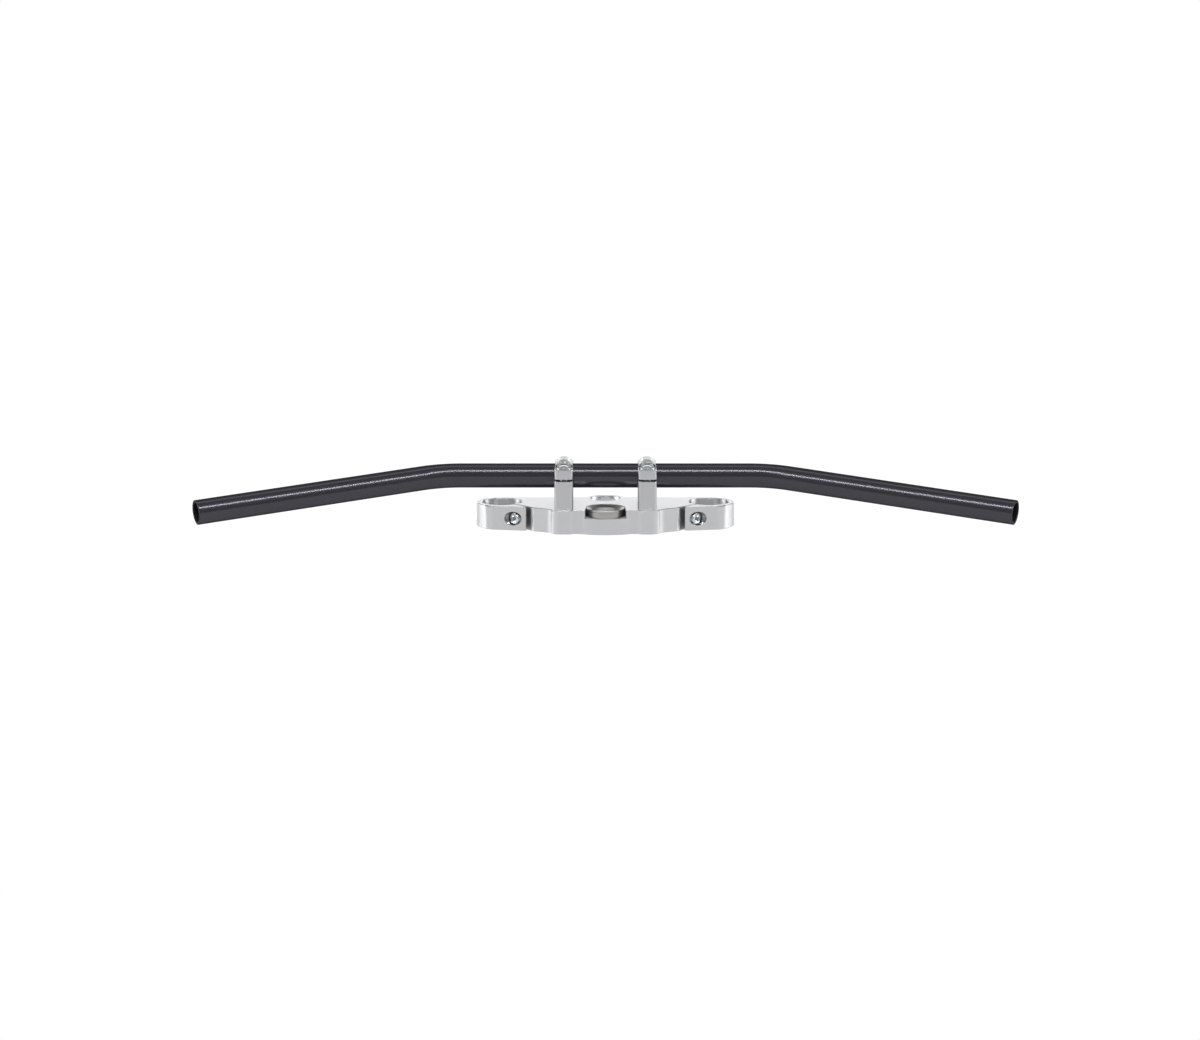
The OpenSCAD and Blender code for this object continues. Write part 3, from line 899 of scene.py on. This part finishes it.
@dataclass
class RiserSet:
    """A riser, its arched cap, and the screws, bolt and washer that hold them. Sizes in millimetres."""

    side: str
    sign: int
    x: float = 37.75
    bar_y: float = 15.0
    bar_z: float = 49.0
    edge_round: float = 0.5
    seat_r: float = 11.2
    seat_room: float = 0.5
    lug_z: float = 58.6
    screw_pitch: float = 33.4
    bolt_seat_z: float = 7.5
    washer_bore_r: float = 5.3
    washer_r: float = 10.0
    washer_t: float = 2.0
    washer_edge: float = 0.25

    def clear_of_seat(self, edge: bmesh.types.BMEdge) -> bool:
        """Is an edge away from the bar's seat?"""
        at = middle_mm(edge)
        return math.hypot(at.y - self.bar_y, at.z - self.bar_z) > self.seat_r + self.seat_room

    def washer(self) -> bpy.types.Object:
        """Turns the washer under the riser bolt's head.

        Returns:
            The washer at its place.
        """
        low, high, cut = self.bolt_seat_z, self.bolt_seat_z + self.washer_t, self.washer_edge
        piece = turned_ring(
            "washer_blank",
            [
                (self.washer_bore_r, low), (self.washer_r - cut, low), (self.washer_r, low + cut),
                (self.washer_r, high - cut), (self.washer_r - cut, high), (self.washer_bore_r, high),
            ],
            sides=48,
        )
        placed = placed_copy(
            piece, f"turned_riser_washer_{self.side}",
            Matrix.Translation(Vector((self.sign * self.x, self.bar_y, 0.0)) * MM),
        )
        bpy.data.objects.remove(piece)
        return placed

    def build(self, cap_screw: bpy.types.Object, riser_bolt: bpy.types.Object) -> None:
        """Breaks the edges of the blocks, sets the screws, and dresses all of them.

        Args:
            cap_screw: The cap screw that is repeated.
            riser_bolt: The riser bolt that is repeated.
        """
        for kind in ("riser", "cap"):
            node = f"{kind}_{self.side}"
            block = merged_copy(node, f"milled_{node}")
            bevel_edges(block, self.edge_round, self.clear_of_seat, segments=2, sharp_deg=40.0)
            dress(block, Finishes.BLOCK_ALUMINIUM, node)
        for end, way in ENDS:
            node = f"cap_screw_{self.side}_{end}"
            seat = Vector((self.sign * self.x, self.bar_y + way * self.screw_pitch / 2, self.lug_z)) * MM
            screw = placed_copy(cap_screw, f"threaded_{node}", Matrix.Translation(seat))
            dress(screw, Finishes.ZINC_PLATE, node)
        seat = Vector((self.sign * self.x, self.bar_y, self.bolt_seat_z)) * MM
        downwards = Euler((math.pi, 0.0, 0.0)).to_matrix().to_4x4()
        turned = Matrix.Translation(seat) @ downwards
        bolt = placed_copy(riser_bolt, f"threaded_riser_bolt_{self.side}", turned)
        dress(bolt, Finishes.ZINC_PLATE, f"riser_bolt_{self.side}")
        dress(self.washer(), Finishes.ZINC_PLATE, f"riser_washer_{self.side}")
        paint(f"riser_dowel_{self.side}", Finishes.TURNED_STEEL)


@dataclass
class PinchScrews:
    """The two screws that close the fork clamps, sunk square to the slits. Sizes in millimetres."""

    at_x: float = 84.16
    at_y: float = 4.45
    at_z: float = 11.0
    slit_deg: float = 48.5
    sunk: float = 5.1

    def build(self, pattern: bpy.types.Object) -> None:
        """Sets a copy of the pattern screw in each clamp.

        Args:
            pattern: The screw that is repeated.
        """
        across = math.radians(self.slit_deg)
        for side, sign in SIDES:
            outwards = Vector((sign * math.sin(across), -math.cos(across), 0.0))
            seat = Vector((sign * self.at_x, self.at_y, self.at_z)) - outwards * self.sunk
            turn = Euler((0.0, math.pi / 2, math.atan2(outwards.y, outwards.x))).to_matrix().to_4x4()
            place = Matrix.Translation(seat * MM) @ turn
            screw = placed_copy(pattern, f"threaded_pinch_screw_{side}", place)
            dress(screw, Finishes.ZINC_PLATE, f"pinch_screw_{side}")


def paint(node: str, finish: Finishes) -> None:
    """Gives a frame node that stays as it is its finish.

    Args:
        node: The frame's node.
        finish: Its finish.
    """
    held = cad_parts[node]
    held.data.materials.clear()
    held.data.materials.append(finish.value.material())
    LOG.info("%s keeps its shape", node)


@dataclass
class Camera:
    """The photograph's viewpoint. Lengths in millimetres, angles in degrees."""

    pitch: float = 10.8
    distance: float = 2640.0
    lens: float = 87.0
    sensor: float = 36.0
    aim: tuple[float, float, float] = (-5.0, 15.0, 49.0)
    drop: float = 40.55
    clip_end_m: float = 100.0

    def build(self) -> None:
        """Places the camera on the rider's side, above the bar."""
        pitch = math.radians(self.pitch)
        up = Vector((0.0, math.sin(pitch), math.cos(pitch)))
        ahead = Vector((0.0, math.cos(pitch), -math.sin(pitch)))
        target = Vector(self.aim) - up * self.drop
        deselect()
        bpy.ops.object.camera_add(
            location=(target - ahead * self.distance) * MM, rotation=(math.pi / 2 - pitch, 0.0, 0.0),
        )
        camera = bpy.context.object
        camera.name = "camera"
        camera.data.lens = self.lens
        camera.data.sensor_width = self.sensor
        camera.data.sensor_fit = "HORIZONTAL"
        camera.data.clip_end = self.clip_end_m
        bpy.context.scene.camera = camera


@dataclass(frozen=True)
class Softbox:
    """An area lamp aimed at the bar. Lengths in metres, angles in degrees."""

    name: str
    azimuth: float
    elevation: float
    distance: float
    width: float
    height: float
    watts: float

    def build(self, centre: Vector) -> None:
        """Adds the lamp, facing the centre.

        Args:
            centre: The point that the lamp looks at.
        """
        turn = math.radians(self.azimuth)
        rise = math.radians(self.elevation)
        away = Vector((math.sin(turn) * math.cos(rise), -math.cos(turn) * math.cos(rise), math.sin(rise)))
        lamp = bpy.data.lights.new(self.name, "AREA")
        lamp.shape = "RECTANGLE"
        lamp.size = self.width
        lamp.size_y = self.height
        lamp.energy = self.watts
        holder = bpy.data.objects.new(self.name, lamp)
        holder.location = centre + away * self.distance
        holder.rotation_euler = away.to_track_quat("Z", "Y").to_euler()
        holder.visible_camera = False
        bpy.context.scene.collection.objects.link(holder)


@dataclass
class Studio:
    """White floor, pale surround and softboxes. Lengths in metres."""

    floor_size: float = 30.0
    floor_grey: float = 0.9
    # How much of its shadow the floor shows, and the distances over which that fades out
    shadow_share: float = 0.14
    shadow_from: float = 0.45
    shadow_to: float = 1.1
    # Light that the lamps and the surround give the open floor
    open_level: float = 0.55
    # Levels of the surround: past the object, on the rider's side, overhead, and as light on the object
    horizon: float = 1.0
    rider_side: float = 0.38
    ceiling: float = 0.45
    fill: float = 0.6
    # Directions between which the surround passes from the rider's side to the far one, and from low to high
    far_from: float = -0.5
    far_to: float = 0.3
    high_from: float = 0.2
    high_to: float = 0.4
    aim: tuple[float, float, float] = (0.0, 0.015, 0.049)
    # Broad boxes at the sides band the walls' turns, strips overhead line the tube, boxes behind edge the rims
    lamps: tuple[Softbox, ...] = (
        Softbox("softbox_left", -100, 15, 1.6, 0.8, 0.8, watts=17),
        Softbox("softbox_right", 100, 15, 1.6, 0.8, 0.8, watts=17),
        Softbox("sidelight_left", -62, 14, 1.8, 1.1, 0.8, watts=2),
        Softbox("sidelight_right", 62, 14, 1.8, 1.1, 0.8, watts=2),
        Softbox("strip_overhead", 0, 54.5, 1.8, 3.0, 0.14, watts=36),
        Softbox("strip_behind", 180, 72, 1.8, 3.0, 0.40, watts=5.5),
        Softbox("softbox_behind", 180, 11, 2.4, 2.6, 0.3, watts=4.8),
    )

    def seen_directly(self, tree: bpy.types.NodeTree) -> bpy.types.NodeSocket:
        """Finds whether a ray is from the camera, a reflection or a transmission.

        Args:
            tree: The node tree that asks.

        Returns:
            The socket that carries 1 for such a ray and 0 for any other.
        """
        path = add_node(tree, "ShaderNodeLightPath")
        shiny = add_node(
            tree, "ShaderNodeMath",
            {0: path.outputs["Is Glossy Ray"], 1: path.outputs["Is Transmission Ray"]}, operation="ADD",
        )
        total = add_node(
            tree, "ShaderNodeMath",
            {0: path.outputs["Is Camera Ray"], 1: shiny.outputs[0]}, operation="ADD", use_clamp=True,
        )
        return total.outputs[0]

    def floor(self) -> None:
        """Adds a white floor that keeps a soft share of the object's shadow close to it."""
        deselect()
        bpy.ops.mesh.primitive_plane_add(size=self.floor_size, location=(0.0, 0.0, 0.0))
        plane = bpy.context.object
        plane.name = "studio_floor"
        material = bpy.data.materials.new("white_studio_floor")
        material.use_nodes = True
        tree = material.node_tree
        tree.nodes.clear()
        coords = add_node(tree, "ShaderNodeTexCoord")
        away = add_node(tree, "ShaderNodeVectorMath", {0: coords.outputs["Object"]}, operation="LENGTH")
        fade = {1: self.shadow_from, 2: self.shadow_to, 3: self.shadow_share, 4: 0.0}
        near = add_node(
            tree, "ShaderNodeMapRange", {"Value": away.outputs["Value"], **fade},
            interpolation_type="SMOOTHSTEP",
        )
        # The lit share and the glowing share add up to plain white where nothing shades the floor
        lost = add_node(
            tree, "ShaderNodeMath", {0: near.outputs[0], 1: 1 - self.open_level}, operation="MULTIPLY",
        )
        level = add_node(tree, "ShaderNodeMath", {0: 1.0, 1: lost.outputs[0]}, operation="ADD")
        grey = self.floor_grey
        matt = add_node(tree, "ShaderNodeBsdfDiffuse", {"Color": (grey, grey, grey, 1.0)})
        white = add_node(
            tree, "ShaderNodeEmission", {"Color": (1.0, 1.0, 1.0, 1.0), "Strength": level.outputs[0]},
        )
        glowing = add_node(tree, "ShaderNodeMath", {0: 1.0, 1: near.outputs[0]}, operation="SUBTRACT")
        share = add_node(
            tree, "ShaderNodeMath", {0: self.seen_directly(tree), 1: glowing.outputs[0]}, operation="MULTIPLY",
        )
        mix = add_node(
            tree, "ShaderNodeMixShader", {0: share.outputs[0], 1: matt.outputs[0], 2: white.outputs[0]},
        )
        add_node(tree, "ShaderNodeOutputMaterial", {"Surface": mix.outputs[0]})
        plane.data.materials.append(material)

    def surround(self) -> None:
        """Sets a world that lights from the far side more than from the rider's side and overhead."""
        world = bpy.data.worlds.new("studio_surround")
        bpy.context.scene.world = world
        world.use_nodes = True
        tree = world.node_tree
        tree.nodes.clear()
        coords = add_node(tree, "ShaderNodeTexCoord")
        parts = add_node(tree, "ShaderNodeSeparateXYZ", {0: coords.outputs["Generated"]})
        around = {1: self.far_from, 2: self.far_to, 3: self.rider_side, 4: self.horizon}
        low = add_node(tree, "ShaderNodeMapRange", {"Value": parts.outputs["Y"], **around})
        upwards = {1: self.high_from, 2: self.high_to, 3: low.outputs[0], 4: self.ceiling}
        ramp = add_node(tree, "ShaderNodeMapRange", {"Value": parts.outputs["Z"], **upwards})
        fill = add_node(
            tree, "ShaderNodeMapRange", {"Value": self.seen_directly(tree), 3: self.fill, 4: 1.0},
        )
        strength = add_node(
            tree, "ShaderNodeMath", {0: ramp.outputs[0], 1: fill.outputs[0]}, operation="MULTIPLY",
        )
        # The camera sees plain white beyond the floor's edge, from any side
        path = add_node(tree, "ShaderNodeLightPath")
        seen = add_node(
            tree, "ShaderNodeMath",
            {0: strength.outputs[0], 1: path.outputs["Is Camera Ray"]}, operation="MAXIMUM",
        )
        light = add_node(
            tree, "ShaderNodeBackground", {"Color": (1.0, 1.0, 1.0, 1.0), "Strength": seen.outputs[0]},
        )
        add_node(tree, "ShaderNodeOutputWorld", {"Surface": light.outputs[0]})

    def build(self) -> None:
        """Adds the floor, the surround and the lamps."""
        bpy.context.scene.view_settings.view_transform = "Standard"
        self.floor()
        self.surround()
        for lamp in self.lamps:
            lamp.build(Vector(self.aim))


def main() -> None:
    """Builds the pieces in order, then the studio and the camera."""
    logging.basicConfig(level=logging.INFO, format="%(name)s: %(message)s")
    Camera().build()
    Handlebar().build()
    Yoke().build()
    StemBush().build()
    cap_screw = Screw(
        "cap_screw_pattern", thread_d=8.0, length=25.0, pitch=1.25, head_d=14.0, head_h=4.4, across=5.0,
        domed=True,
    ).build()
    riser_bolt = Screw(
        "riser_bolt_pattern", thread_d=10.0, length=25.0, pitch=1.5, head_d=16.0, head_h=6.0, across=8.0,
        domed=False,
    ).build()
    pinch_screw = Screw(
        "pinch_screw_pattern", thread_d=6.0, length=22.0, pitch=1.0, head_d=10.4, head_h=4.0, across=5.0,
        domed=False,
    ).build()
    for side, sign in SIDES:
        RiserSet(side, sign).build(cap_screw, riser_bolt)
    PinchScrews().build(pinch_screw)
    for pattern in (cap_screw, riser_bolt, pinch_screw):
        bpy.data.objects.remove(pattern)
    Studio().build()


if __name__ == "__main__":
    main()
